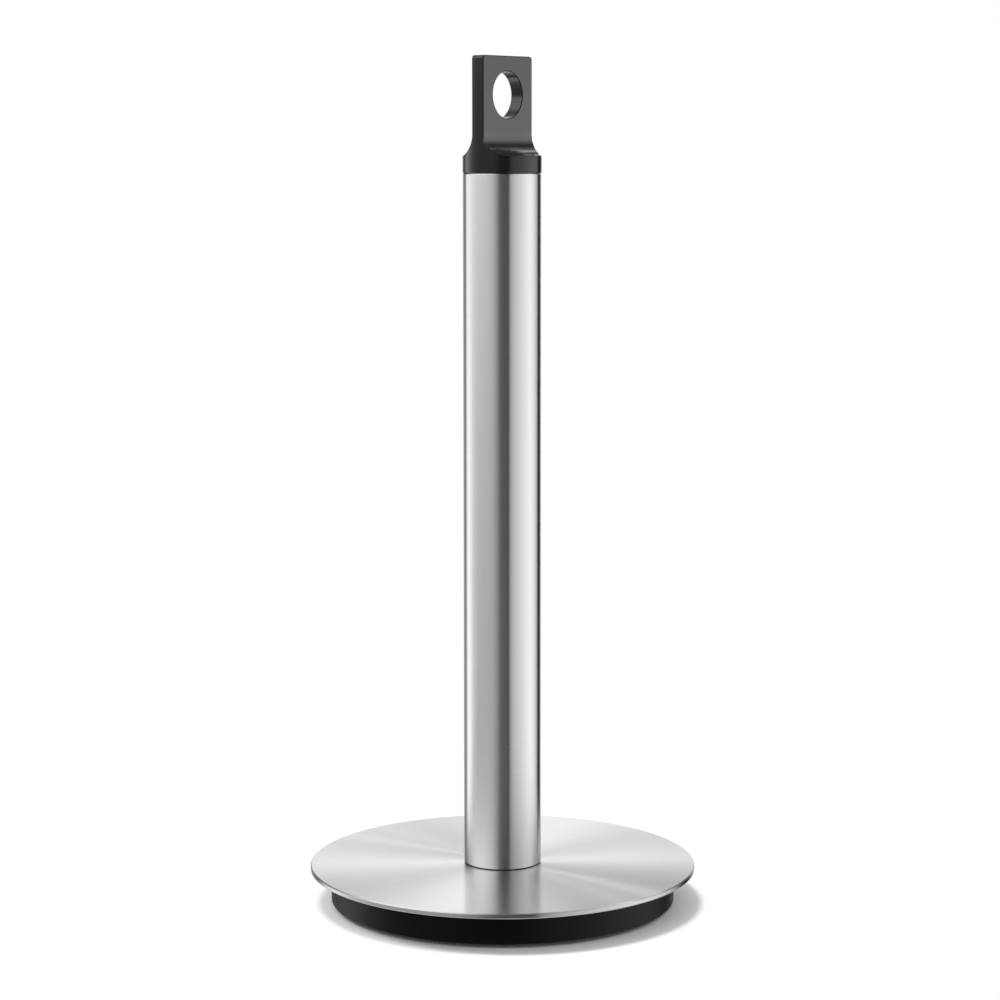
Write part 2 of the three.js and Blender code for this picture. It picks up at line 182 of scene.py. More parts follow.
def roundCorners(corners, steps):
    # corners of (radius, height, rounding) become the points of an outline
    outline = []
    for i, (radius, height, rounding) in enumerate(corners):
        here = Vector((radius, height))
        if rounding <= 0:
            outline.append(here)
            continue
        back = (Vector(corners[i - 1][:2]) - here).normalized()
        ahead = (Vector(corners[(i + 1) % len(corners)][:2]) - here).normalized()
        half = back.angle(ahead) / 2
        centre = here + (back + ahead).normalized() * rounding / math.sin(half)
        start = here + back * rounding / math.tan(half) - centre
        end = here + ahead * rounding / math.tan(half) - centre
        sweep = math.atan2(start.x * end.y - start.y * end.x, start.dot(end))
        for k in range(steps + 1):
            angle = math.atan2(start.y, start.x) + sweep * k / steps
            outline.append(centre + Vector((math.cos(angle), math.sin(angle))) * rounding)
    return outline


def turnOnLathe(name, outline, sides):
    # A ring is drawn from point to point along the outline. An outline that starts and ends on the
    # axis gives a solid, and any other is closed on itself.
    solid = outline[0][0] < samePlace
    rings = [point for point in outline if point[0] > samePlace]
    radius, height = rings[0]
    clearPick()
    bpy.ops.mesh.primitive_circle_add(
        vertices=sides, radius=radius, fill_type="NGON" if solid else "NOTHING",
        location=(0, 0, height))
    piece = settle(bpy.context.object, name)
    startEditing(piece, "FACE" if solid else "EDGE")
    bpy.ops.mesh.select_all(action="SELECT")
    for nextRadius, nextHeight in rings[1:] if solid else rings[1:] + rings[:1]:
        bpy.ops.mesh.extrude_region_move(
            TRANSFORM_OT_translate={"value": (0, 0, nextHeight - height)})
        growth = nextRadius / radius
        bpy.ops.transform.resize(value=(growth, growth, 1), center_override=(0, 0, nextHeight))
        radius, height = nextRadius, nextHeight
    stopEditing()
    mergeUp(piece)
    return piece


def addBlock(name, low, high):
    centre = [(a + b) / 2 for a, b in zip(low, high)]
    size = [b - a for a, b in zip(low, high)]
    clearPick()
    bpy.ops.mesh.primitive_cube_add(size=1, location=centre, scale=size)
    return settle(bpy.context.object, name)


def shankPoints(radius, low, high, pitch, stepsPerTurn=6):
    # closely spaced outline points up a shank, for its thread to be wound on
    count = round((high - low) / pitch * stepsPerTurn)
    return [(radius, low + (high - low) * i / count) for i in range(count + 1)]


def windThread(piece, radius, low, high, pitch, depth):
    # draws the shank's points inwards along a helix, with a run-out at both ends
    shape = bmesh.new()
    shape.from_mesh(piece.data)
    for vertex in shape.verts:
        x, y, z = vertex.co
        if not low < z < high or math.hypot(x, y) < shankShare * radius:
            continue
        turn = z / pitch - math.atan2(y, x) / (2 * math.pi)
        groove = abs(2 * (turn - math.floor(turn)) - 1)
        fade = min(1, (z - low) / pitch, (high - z) / pitch)
        shrink = 1 - depth * groove * fade / radius
        vertex.co = (x * shrink, y * shrink, z)
    shape.to_mesh(piece.data)
    shape.free()


def axisReach(node):
    # how near and how far from the tube's axis a CAD node's corners lie
    reach = [math.hypot(v.co.x, v.co.y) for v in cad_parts[node].data.vertices]
    return min(reach), max(reach)


def ringOutline(node, lowRound, highRound, steps):
    # the section of a flat ring, with its lower and its upper corners rounded
    low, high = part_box(node)
    inner, outer = axisReach(node)
    return roundCorners([(inner, low.z, lowRound), (outer, low.z, lowRound),
                         (outer, high.z, highRound), (inner, high.z, highRound)], steps)


def fit(piece, node, material):
    # the piece takes its finish, rides on the holder and stands for its CAD node
    shadeEvenly(piece)
    piece.data.materials.clear()
    piece.data.materials.append(material)
    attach(piece, "root")
    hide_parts(node)


# surface effects that several finishes share

# each noise's detail and roughness, and the share that makes a streak about six lines wide
effectValues = {
    "lines": (3.0, 0.6), "streaks": (2.0, 0.5), "streakShare": 0.16, "grain": (3.0, 0.55),
    "cloud": (2.0, 0.5), "cloudScale": 55.0, "smear": (4.0, 0.6),
}


def grey(level):
    return (level, level, level, 1)


def setInputs(tree, node, inputs):
    # each input gets a value of its own or a link from another node
    for key, value in inputs.items():
        if isinstance(value, bpy.types.NodeSocket):
            tree.links.new(value, node.inputs[key])
        else:
            node.inputs[key].default_value = value


def addNode(tree, kind, inputs, **settings):
    node = tree.nodes.new("ShaderNode" + kind)
    for name, value in settings.items():
        setattr(node, name, value)
    setInputs(tree, node, inputs)
    return node.outputs


def addMath(tree, operation, *values):
    return addNode(tree, "Math", dict(enumerate(values)), operation=operation)[0]


def addNoise(tree, vector, scale, detail, roughness):
    return addNode(tree, "TexNoise", {
        "Vector": vector, "Scale": scale, "Detail": detail, "Roughness": roughness})["Fac"]


def spread(tree, value, low, high, fromLow=0.3, fromHigh=0.7):
    # maps a noise's usual range onto the wanted one
    return addNode(tree, "MapRange", {
        "Value": value, "From Min": fromLow, "From Max": fromHigh,
        "To Min": low, "To Max": high})["Result"]


def inUnitsOf(tree, vector, size):
    perUnit = addMath(tree, "DIVIDE", 1.0, size)
    return addNode(tree, "VectorMath", {0: vector, "Scale": perUnit}, operation="SCALE")[0]


def newGroup(name, inputs, outputs):
    # an input without a value of its own takes a place
    group = bpy.data.node_groups.new(name, "ShaderNodeTree")
    for socketName, value in inputs.items():
        kind = "NodeSocketVector" if value is None else "NodeSocketFloat"
        socket = group.interface.new_socket(socketName, in_out="INPUT", socket_type=kind)
        if value is not None:
            socket.default_value = value
    for socketName in outputs:
        group.interface.new_socket(socketName, in_out="OUTPUT", socket_type="NodeSocketFloat")
    return (group, group.nodes.new("NodeGroupInput").outputs,
            group.nodes.new("NodeGroupOutput").inputs)


def makeBrushedLines():
    # fine lines left by a brushing belt: close across the stroke, long along it
    group, inputs, outputs = newGroup("brushedLines", {
        "Across": 0.0, "Along X": 0.0, "Along Y": 0.0, "Line Width": 0.0002, "Line Length": 0.02,
    }, ["Lines", "Streaks"])
    across = addMath(group, "DIVIDE", inputs["Across"], inputs["Line Width"])
    alongX = addMath(group, "DIVIDE", inputs["Along X"], inputs["Line Length"])
    alongY = addMath(group, "DIVIDE", inputs["Along Y"], inputs["Line Length"])
    streakAcross = addMath(group, "MULTIPLY", across, effectValues["streakShare"])
    for output, width, noise in (("Lines", across, "lines"), ("Streaks", streakAcross, "streaks")):
        place = addNode(group, "CombineXYZ", {0: alongX, 1: alongY, 2: width})[0]
        group.links.new(addNoise(group, place, 1.0, *effectValues[noise]), outputs[output])
    return group


def makeMouldedGrain():
    # the faint even texture that a spark-eroded mould leaves on plastic
    group, inputs, outputs = newGroup(
        "mouldedGrain", {"Vector": None, "Grain Size": 0.0004}, ["Grain", "Cloud"])
    values = effectValues
    grains = inUnitsOf(group, inputs["Vector"], inputs["Grain Size"])
    cloud = addNoise(group, inputs["Vector"], values["cloudScale"], *values["cloud"])
    group.links.new(addNoise(group, grains, 1.0, *values["grain"]), outputs["Grain"])
    group.links.new(cloud, outputs["Cloud"])
    return group


def makeHandling():
    # the slight unevenness of gloss where hands and cloths have been
    group, inputs, outputs = newGroup("handling", {"Vector": None, "Patch Size": 0.03}, ["Smear"])
    patches = inUnitsOf(group, inputs["Vector"], inputs["Patch Size"])
    group.links.new(addNoise(group, patches, 1.0, *effectValues["smear"]), outputs["Smear"])
    return group


brushedLines = makeBrushedLines()
mouldedGrain = makeMouldedGrain()
handling = makeHandling()


def startFinish(name):
    material = bpy.data.materials.new(name)
    material.use_nodes = True
    tree = material.node_tree
    return (material, tree, tree.nodes["Principled BSDF"],
            addNode(tree, "TexCoord", {})["Object"])


def addGroup(tree, group, inputs):
    return addNode(tree, "Group", inputs, node_tree=group)


def addSmear(tree, place, patchSize):
    return addGroup(tree, handling, {"Vector": place, "Patch Size": patchSize})["Smear"]


def addBump(tree, height, depth):
    return addNode(tree, "Bump", {"Height": height, "Distance": depth, "Strength": 1.0})["Normal"]


def mixColours(tree, factor, low, high):
    return addNode(tree, "Mix", {"Factor": factor, "A": low, "B": high}, data_type="RGBA")["Result"]


def mixShaders(tree, factor, low, high):
    return addNode(tree, "MixShader", {0: factor, 1: low, 2: high})[0]


# finishes

tubeSteelValues = {
    "level": 0.70, "variation": 0.01, "roughness": 0.28, "roughnessVariation": 0.008,
    "anisotropy": 1.0, "lineWidth": 0.00009, "lineLength": 0.03, "depth": 0.0000001,
    "fineShare": 0.65, "patchSize": 0.045,
}
plateSteelValues = {
    "level": 0.70, "variation": 0.02, "roughness": 0.29, "roughnessVariation": 0.015,
    "anisotropy": 1.0, "lineWidth": 0.00012, "lineLength": 0.03, "depth": 0.0000003,
    "fineShare": 0.65, "patchSize": 0.045, "rim": (0.07475, 0.0748), "rimLevel": 0.55,
}


def makeBrushedSteel(name, values, circular):
    # circular lines on the plate, hoops round the tube: both run round the holder's axis
    material, tree, shader, place = startFinish(name)
    x, y, z = addNode(tree, "SeparateXYZ", {0: place})
    across = z
    if circular:
        across = addMath(tree, "SQRT", addMath(
            tree, "ADD", addMath(tree, "MULTIPLY", x, x), addMath(tree, "MULTIPLY", y, y)))
    lines = addGroup(tree, brushedLines, {
        "Across": across, "Along X": x, "Along Y": y,
        "Line Width": values["lineWidth"], "Line Length": values["lineLength"]})
    both = addMath(tree, "ADD", addMath(tree, "MULTIPLY", lines["Lines"], values["fineShare"]),
                   addMath(tree, "MULTIPLY", lines["Streaks"], 1 - values["fineShare"]))
    colour = mixColours(tree, spread(tree, both, 0.0, 1.0),
                        grey(values["level"] - values["variation"]),
                        grey(values["level"] + values["variation"]))
    if circular:
        # the cut rim is duller than the brushed faces
        rim = spread(tree, across, 0.0, 1.0, *values["rim"])
        colour = mixColours(tree, rim, colour, grey(values["rimLevel"]))
    level, swing = values["roughness"], values["roughnessVariation"] / 2
    smear = addSmear(tree, place, values["patchSize"])
    setInputs(tree, shader, {
        "Base Color": colour,
        "Roughness": addMath(tree, "ADD", spread(tree, lines["Streaks"], -swing, swing),
                             spread(tree, smear, level - swing, level + swing)),
        "Metallic": 1.0,
        "Anisotropic": values["anisotropy"],
        "Anisotropic Rotation": 0.25,  # a quarter turn, so that the gloss spreads across the lines
        "Tangent": addNode(tree, "Tangent", {}, direction_type="RADIAL", axis="Z")[0],
        "Normal": addBump(tree, lines["Lines"], values["depth"]),
    })
    return material


plasticValues = {
    "patchSize": 0.02, "cloudSwing": 0.15, "grainSwing": 0.03, "smearSwing": 0.02, "ior": 1.5,
}


def makePlasticFinish(name, level, roughness, grainSize, grainDepth, shine=0.5):
    values = plasticValues
    material, tree, shader, place = startFinish(name)
    grain = addGroup(tree, mouldedGrain, {"Vector": place, "Grain Size": grainSize})
    smear = addSmear(tree, place, values["patchSize"])
    cloud, rough, gloss = values["cloudSwing"], values["grainSwing"], values["smearSwing"]
    setInputs(tree, shader, {
        "Base Color": mixColours(tree, spread(tree, grain["Cloud"], 0.0, 1.0),
                                 grey(level * (1 - cloud)), grey(level * (1 + cloud))),
        "Roughness": addMath(tree, "ADD", spread(tree, grain["Grain"], -rough, rough),
                             spread(tree, smear, roughness - gloss, roughness + gloss)),
        "IOR": values["ior"],
        "Specular IOR Level": shine,
        "Normal": addBump(tree, grain["Grain"], grainDepth),
    })
    return material


# how far out the satin with its painted sheen sets in, the heights where it starts and where its
# painted foot highlight fades, and levels: low and high are the painted sheen at the bottom and at
# the top
satinAndPaintedSheenValues = {
    "face": (0.00279, 0.00284), "start": (0.2939, 0.2955), "foot": (0.2960, 0.2990),
    "top": 0.327, "paintedFootHighlight": 0.1, "low": 0.06, "high": 0.038,
}


def addSatinAndPaintedSheen(material):
    # the eye's two faces keep a fine satin from the mould, with painted sheen on it: lighter than
    # the rest, darker toward the top, and a painted highlight band at the foot
    values = satinAndPaintedSheenValues
    tree = material.node_tree
    shader = tree.nodes["Principled BSDF"]
    y, z = addNode(tree, "SeparateXYZ", {0: addNode(tree, "TexCoord", {})["Object"]})[1:]
    face = spread(tree, addMath(tree, "ABSOLUTE", y), 0.0, 1.0, *values["face"])
    mask = addMath(tree, "MULTIPLY", face, spread(tree, z, 0.0, 1.0, *values["start"]))
    height = spread(tree, z, 0.0, 1.0, values["start"][1], values["top"])
    # painted sheen: lighter at the bottom of the faces, darker toward the top
    paintedSheen = mixColours(tree, height, grey(values["low"]), grey(values["high"]))
    foot = spread(tree, z, 0.0, 1.0, *values["foot"])
    # a painted highlight band at the foot of the fillet
    paintedSheen = mixColours(tree, foot, grey(values["paintedFootHighlight"]), paintedSheen)
    plain = shader.inputs["Base Color"].links[0].from_socket
    setInputs(tree, shader, {"Base Color": mixColours(tree, mask, plain, paintedSheen)})


def makePlatedFinish(name, low, high, roughness, patchSize, depth):
    # zinc plating and brass: a dull crystalline shimmer over fine tool marks
    material, tree, shader, place = startFinish(name)
    smear = addSmear(tree, place, patchSize)
    setInputs(tree, shader, {
        "Base Color": mixColours(tree, spread(tree, smear, 0.0, 1.0), low, high),
        "Roughness": spread(tree, smear, *roughness),
        "Metallic": 1.0,
        "Normal": addBump(tree, smear, depth),
    })
    return material


ironValues = {
    "pitScale": 900.0, "pitDetail": 5.0, "pitRoughness": 0.65, "pitDepth": 0.0004,
    "patchSize": 0.012, "stainRange": (0.45, 0.75),
    "paint": (0.045, 0.045, 0.048, 1), "stain": (0.075, 0.055, 0.043, 1),
    "roughness": (0.5, 0.85), "metallic": (0.75, 0.35),
}


def makeCastIronFinish():
    # pitted sand-cast skin under thin black paint, brown in patches
    values = ironValues
    material, tree, shader, place = startFinish("castIron")
    pits = addNoise(tree, place, values["pitScale"], values["pitDetail"], values["pitRoughness"])
    stain = addSmear(tree, place, values["patchSize"])
    setInputs(tree, shader, {
        "Base Color": mixColours(tree, spread(tree, stain, 0.0, 1.0, *values["stainRange"]),
                                 values["paint"], values["stain"]),
        "Roughness": spread(tree, pits, *values["roughness"]),
        "Metallic": spread(tree, stain, *values["metallic"]),
        "Normal": addBump(tree, pits, values["pitDepth"]),
    })
    return material


foamValues = {
    "cellScale": 2600.0, "cellDepth": 0.0001, "cellRange": (0.1, 0.6),
    "low": 0.018, "high": 0.045, "roughness": (0.95, 0.8),
}


def makeFoamFinish():
    # closed-cell sheet: tiny round cells cut open at the skin
    values = foamValues
    material, tree, shader, place = startFinish("padFoam")
    cell = addNode(tree, "TexVoronoi", {"Scale": values["cellScale"], "Vector": place})["Distance"]
    setInputs(tree, shader, {
        "Base Color": mixColours(tree, spread(tree, cell, 0.0, 1.0, *values["cellRange"]),
                                 grey(values["low"]), grey(values["high"])),
        "Roughness": spread(tree, cell, *values["roughness"], *values["cellRange"]),
        "Normal": addBump(tree, cell, values["cellDepth"]),
    })
    return material


tubeSteel = makeBrushedSteel("tubeSteel", tubeSteelValues, circular=False)
plateSteel = makeBrushedSteel("plateSteel", plateSteelValues, circular=True)
capPlastic = makePlasticFinish("capPlastic", 0.003, 0.18, 0.00035, 0.0000015, shine=0.6)
# the eye's two faces get painted sheen and a painted highlight at their foot
addSatinAndPaintedSheen(capPlastic)
trayPlastic = makePlasticFinish("trayPlastic", 0.0015, 0.42, 0.0005, 0.000004, shine=0.14)
bushPlastic = makePlasticFinish("bushPlastic", 0.02, 0.5, 0.0008, 0.00001)
sealRubber = makePlasticFinish("sealRubber", 0.012, 0.62, 0.0006, 0.00001)
footRubber = makePlasticFinish("footRubber", 0.014, 0.7, 0.0007, 0.00002)
zincSteel = makePlatedFinish(
    "zincSteel", (0.50, 0.51, 0.53, 1), (0.66, 0.66, 0.65, 1), (0.26, 0.40), 0.0015, 0.000004)
insertBrass = makePlatedFinish(
    "insertBrass", (0.62, 0.42, 0.16, 1), (0.74, 0.53, 0.24, 1), (0.20, 0.34), 0.002, 0.000003)
castIron = makeCastIronFinish()
padFoam = makeFoamFinish()
print("finishes ready")


# levels of the CAD frame

tubeLow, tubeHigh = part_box("pole_tube")
plateLow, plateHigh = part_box("base_plate")
capLow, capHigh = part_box("eye_cap")
tableLevel = cadLow.z


# tube and the parts at its foot

tubeValues = {"sides": 256, "endRound": 0.0004, "boreRound": 0.00012, "roundSteps": 5}


def makeTube():
    values = tubeValues
    bore, radius = axisReach("pole_tube")
    outline = roundCorners([
        (bore, tubeLow.z, values["boreRound"]), (radius, tubeLow.z, values["endRound"]),
        (radius, tubeHigh.z, values["endRound"]), (bore, tubeHigh.z, values["boreRound"]),
    ], values["roundSteps"])
    fit(turnOnLathe("poleTube", outline, values["sides"]), "pole_tube", tubeSteel)


gasketValues = {"sides": 192, "lipRound": 0.00012, "roundSteps": 3}


def makeGasket():
    values = gasketValues
    lip = values["lipRound"]
    outline = ringOutline("tube_gasket", lip, lip, values["roundSteps"])
    gasket = turnOnLathe("tubeGasket", outline, values["sides"])
    fit(gasket, "tube_gasket", sealRubber)


bushValues = {
    "sides": 96, "wall": 0.0024, "hubWall": 0.003, "floor": 0.004, "spigotRadius": 0.008,
    "ribs": 6, "ribThickness": 0.0014, "ribBelowRim": 0.0024, "edgeRound": 0.0003, "roundSteps": 2,
}


def makeBush():
    values = bushValues
    low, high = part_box("tube_bush")
    rodHole, outer = axisReach("tube_bush")
    hub = rodHole + values["hubWall"]
    inside = outer - values["wall"]
    floor = plateHigh.z + values["floor"]
    r = values["edgeRound"]
    bush = turnOnLathe("tubeBush", roundCorners([
        (rodHole, low.z, r), (values["spigotRadius"], low.z, r),
        (values["spigotRadius"], plateHigh.z, 0), (outer, plateHigh.z, r), (outer, high.z, r),
        (inside, high.z, r), (inside, floor, r),
        (hub, floor, r), (hub, high.z, r), (rodHole, high.z, r),
    ], values["roundSteps"]), values["sides"])
    half = values["ribThickness"] / 2
    rib = addBlock("bushRib", (hub - r, -half, floor - r),
                   (inside + r, half, high.z - values["ribBelowRim"]))
    ribs = copyAround(rib, values["ribs"], math.pi / values["ribs"])
    cutWith(bush, joinAll(ribs), "UNION")
    fit(bush, "tube_bush", bushPlastic)


makeTube()
makeGasket()
makeBush()
print("tube, gasket and bush made")


# cap with the finger eye

capValues = {
    "sides": 120, "collarHeight": 0.0068, "flankFillet": 0.0079, "filletSteps": 16,
    "holeRadius": 0.00885, "holeBelowTop": 0.0146, "holeSides": 128,
    "undersideRound": 0.0005, "topRound": 0.0013, "roundSteps": 5, "creaseGap": 0.0004,
    "edgeRound": 0.00045, "edgeSteps": 4, "edgeAngle": 50, "seamBelowLedge": 0.0012,
    "spigotLeadIn": 0.0008, "spigotRound": 0.0002, "ringGrooveWidth": 0.002,
    "ringGrooveRound": 0.0001, "ringGap": 0.00005, "ringBelowCollar": 0.0065,
    "insertPocket": 0.00425, "insertPocketDepth": 0.01005,
}


def makeCap():
    # a turned barrel, both flanks of its upper part milled away with a wide fillet, then drilled
    values = capValues
    radius = axisReach("eye_cap")[1]
    corners = [v.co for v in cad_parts["eye_cap"].data.vertices]
    halfEye = max(abs(co.y) for co in corners if co.z > capHigh.z - values["holeBelowTop"])
    collarUnderside = tubeHigh.z
    spigot = max(math.hypot(co.x, co.y) for co in corners
                 if co.z < collarUnderside - values["undersideRound"])
    grooveFloor = axisReach("cap_o_ring")[0] - values["ringGap"]
    grooveMiddle = collarUnderside - values["ringBelowCollar"]
    grooveHalf = values["ringGrooveWidth"] / 2
    pocketEnd = capLow.z + values["insertPocketDepth"]
    ledge = collarUnderside + values["collarHeight"]
    outline = [(0, pocketEnd)] + roundCorners([
        (values["insertPocket"], pocketEnd, 0),
        (values["insertPocket"], capLow.z, 0),
        (spigot - values["spigotLeadIn"], capLow.z, values["spigotRound"]),
        (spigot, capLow.z + values["spigotLeadIn"], values["spigotRound"]),
        (spigot, grooveMiddle - grooveHalf, values["ringGrooveRound"]),
        (grooveFloor, grooveMiddle - grooveHalf, 0),
        (grooveFloor, grooveMiddle + grooveHalf, 0),
        (spigot, grooveMiddle + grooveHalf, values["ringGrooveRound"]),
        (spigot, collarUnderside, 0),
        (radius, collarUnderside, values["undersideRound"]),
        (radius, ledge - values["seamBelowLedge"], 0),
        (radius, capHigh.z, values["topRound"]),
        (0, capHigh.z, 0),
    ], values["roundSteps"])
    cap = turnOnLathe("eyeCap", outline, values["sides"])
    reach = 2 * radius
    for side in (1, -1):
        near, far = side * halfEye, side * reach
        cutter = addBlock("flankCutter", (-reach, min(near, far), ledge),
                          (reach, max(near, far), capHigh.z + reach))
        startEditing(cutter, "EDGE")
        selectEdges(lambda co: abs(co.z - ledge) < samePlace and abs(co.y - near) < samePlace)
        bpy.ops.mesh.bevel(
            offset=values["flankFillet"], segments=values["filletSteps"], affect="EDGES")
        stopEditing()
        cutWith(cap, cutter)
    clearPick()
    bpy.ops.mesh.primitive_cylinder_add(
        vertices=values["holeSides"], radius=values["holeRadius"], depth=reach,
        location=(0, 0, capHigh.z - values["holeBelowTop"]), rotation=(math.pi / 2, 0, 0))
    cutWith(cap, settle(bpy.context.object, "holeCutter"))
    # crowded points along the fillet's edge are drawn together, so that the round runs cleanly
    startEditing(cap, "VERT")
    filletTop = ledge + values["flankFillet"]
    selectVertices(lambda co: math.hypot(co.x, co.y) > radius - values["creaseGap"]
                   and ledge - samePlace < co.z < filletTop + samePlace)
    bpy.ops.mesh.remove_doubles(threshold=values["creaseGap"])
    stopEditing()
    softenEdges(cap, values["edgeRound"], values["edgeSteps"], values["edgeAngle"])
    mergeUp(cap)
    fit(cap, "eye_cap", capPlastic)


ringValues = {"sides": 192, "sectionSteps": 24}


def makeCapRing():
    low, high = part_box("cap_o_ring")
    outer = axisReach("cap_o_ring")[1]
    section = (high.z - low.z) / 2
    middle = (low.z + high.z) / 2
    steps = ringValues["sectionSteps"]
    outline = [(outer - section + section * math.cos(2 * math.pi * i / steps),
                middle + section * math.sin(2 * math.pi * i / steps)) for i in range(steps)]
    ring = turnOnLathe("capRing", outline, ringValues["sides"])
    fit(ring, "cap_o_ring", sealRubber)


insertValues = {
    "sides": 96, "band": 0.004, "waist": 0.0005, "endWall": 0.0015, "knurlDepth": 0.00018,
    "mouthRound": 0.0003, "endRound": 0.0002, "roundSteps": 2,
}


def makeInsert():
    values = insertValues
    low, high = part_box("cap_insert")
    radius = axisReach("cap_insert")[1]
    threadRadius = axisReach("tie_rod")[1] + threadGap
    waist = radius - values["waist"]
    insert = turnOnLathe("capInsert", [(0, high.z - values["endWall"])] + roundCorners([
        (threadRadius, high.z - values["endWall"], 0),
        (threadRadius, low.z, values["mouthRound"]),
        (radius, low.z, values["endRound"]),
        (radius, low.z + values["band"], 0),
        (waist, low.z + values["band"] + values["waist"], 0),
        (waist, high.z - values["band"] - values["waist"], 0),
        (radius, high.z - values["band"], 0),
        (radius, high.z, values["endRound"]),
        (0, high.z, 0),
    ], values["roundSteps"]), values["sides"])
    # every second column of the two bands is pressed in
    startEditing(insert, "VERT")
    column = 2 * math.pi / values["sides"]
    selectVertices(lambda co: math.hypot(co.x, co.y) > radius - values["waist"] / 10
                   and round(math.atan2(co.y, co.x) / column) % 2 == 0)
    shrink = 1 - values["knurlDepth"] / radius
    bpy.ops.transform.resize(value=(shrink, shrink, 1), center_override=(0, 0, low.z))
    stopEditing()
    fit(insert, "cap_insert", insertBrass)


makeCap()
makeCapRing()
makeInsert()
print("cap, ring and insert made")


# tie rod, nuts and washers

rodValues = {
    "sides": 48, "chamfer": 0.0006, "pitch": 0.001, "depth": 0.00045,
    "lowThread": 0.02, "highThread": 0.014,
}


def makeRod():
    values = rodValues
    low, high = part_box("tie_rod")
    radius = axisReach("tie_rod")[1]
    chamfer = values["chamfer"]
    lowEnd, highStart = low.z + values["lowThread"], high.z - values["highThread"]
    outline = [(0, low.z), (radius - chamfer, low.z)]
    outline += shankPoints(radius, low.z + chamfer, lowEnd, values["pitch"])
    outline += shankPoints(radius, highStart, high.z - chamfer, values["pitch"])
    outline += [(radius - chamfer, high.z), (0, high.z)]
    rod = turnOnLathe("tieRod", outline, values["sides"])
    windThread(rod, radius, low.z + chamfer, lowEnd, values["pitch"], values["depth"])
    windThread(rod, radius, highStart, high.z - chamfer, values["pitch"], values["depth"])
    fit(rod, "tie_rod", zincSteel)


nutValues = {
    "sides": 96, "acrossFlats": 0.01, "boreChamfer": 0.0004, "faceShare": 0.475, "cornerAngle": 30,
    "edgeRound": 0.00008, "edgeSteps": 2, "edgeAngle": 40,
}


def makeNut(name, node):
    values = nutValues
    low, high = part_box(node)
    bore = axisReach("tie_rod")[1] + threadGap
    lead = values["boreChamfer"]
    corner = values["acrossFlats"] / math.sqrt(3)
    face = values["acrossFlats"] * values["faceShare"]
    drop = (corner - face) * math.tan(math.radians(values["cornerAngle"]))
    nut = turnOnLathe(name, [
        (bore + lead, low.z), (face, low.z), (corner, low.z + drop), (corner, high.z - drop),
        (face, high.z), (bore + lead, high.z), (bore, high.z - lead), (bore, low.z + lead),
    ], values["sides"])
    clearPick()
    bpy.ops.mesh.primitive_cylinder_add(
        vertices=6, radius=corner, depth=2 * (high.z - low.z),
        location=(0, 0, (low.z + high.z) / 2))
    cutWith(nut, settle(bpy.context.object, "hexagon"), "INTERSECT")
    softenEdges(nut, values["edgeRound"], values["edgeSteps"], values["edgeAngle"])
    fit(nut, node, zincSteel)


washerValues = {"sides": 128, "punchedRound": 0.00025, "shearedRound": 0.00006, "roundSteps": 4}


def makeWasher():
    values = washerValues
    outline = ringOutline(
        "clamp_washer", values["punchedRound"], values["shearedRound"], values["roundSteps"])
    washer = turnOnLathe("clampWasher", outline, values["sides"])
    fit(washer, "clamp_washer", zincSteel)


lockWasherValues = {
    "sides": 128, "wireRound": 0.00015, "roundSteps": 3, "slit": 0.0012, "slitLean": 12,
}


def makeLockWasher():
    # one turn of square wire, pressed flat, its ends cut on the lean
    values = lockWasherValues
    low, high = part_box("lock_washer")
    outer = axisReach("lock_washer")[1]
    r = values["wireRound"]
    outline = ringOutline("lock_washer", r, r, values["roundSteps"])
    washer = turnOnLathe("lockWasher", outline, values["sides"])
    half = values["slit"] / 2
    middle = (low.z + high.z) / 2
    slit = addBlock("slitCutter", (0, -half, low.z - overcut), (2 * outer, half, high.z + overcut))
    slit.matrix_world = (Matrix.Translation((0, 0, middle))
                         @ Matrix.Rotation(math.radians(values["slitLean"]), 4, "X")
                         @ Matrix.Translation((0, 0, -middle)))
    cutWith(washer, settle(slit, "slitCutter"))
    fit(washer, "lock_washer", zincSteel)


makeRod()
makeNut("clampNut", "clamp_nut")
makeNut("rodLockNut", "rod_lock_nut")
makeWasher()
makeLockWasher()
print("tie rod, nuts and washers made")


# foot: plate, pad, ballast, tray, ring and screws

plateValues = {
    "sides": 256, "edgeChamfer": 0.0004, "edgeRound": 0.00008, "holeRound": 0.0002, "roundSteps": 3,
}


def makePlate():
    values = plateValues
    hole, radius = axisReach("base_plate")
    chamfer, r = values["edgeChamfer"], values["edgeRound"]
    plate = turnOnLathe("basePlate", roundCorners([
        (hole, plateLow.z, values["holeRound"]), (radius - chamfer, plateLow.z, r),
        (radius, plateLow.z + chamfer, r), (radius, plateHigh.z - chamfer, r),
        (radius - chamfer, plateHigh.z, r), (hole, plateHigh.z, values["holeRound"]),
    ], values["roundSteps"]), values["sides"])
    fit(plate, "base_plate", plateSteel)


padValues = {"sides": 192, "edgeRound": 0.0001, "roundSteps": 3}


def makePad():
    values = padValues
    r = values["edgeRound"]
    outline = ringOutline("plate_pad", r, r, values["roundSteps"])
    fit(turnOnLathe("platePad", outline, values["sides"]), "plate_pad", padFoam)


ballastValues = {
    "sides": 192, "chamfer": 0.001, "cornerRound": 0.0004, "roundSteps": 3,
    "counterboreRadius": 0.011, "tappedRadius": 0.00205, "tappedMouth": 0.00275,
    "tappedDepth": 0.00695, "drillTip": 0.0001,
}


def screwPlaces():
    # the centre of each housing screw in plan
    places = []
    for i in range(1, 5):
        low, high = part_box(f"housing_screw_{i}")
        places.append(((low.x + high.x) / 2, (low.y + high.y) / 2))
    return places


def cutAtScrews(piece, outline):
    cutters = []
    for x, y in screwPlaces():
        cutter = turnOnLathe("screwCutter", outline, screwValues["sides"])
        cutter.location = (x, y, 0)
        cutters.append(settle(cutter, "screwCutter"))
    cutWith(piece, joinAll(cutters))


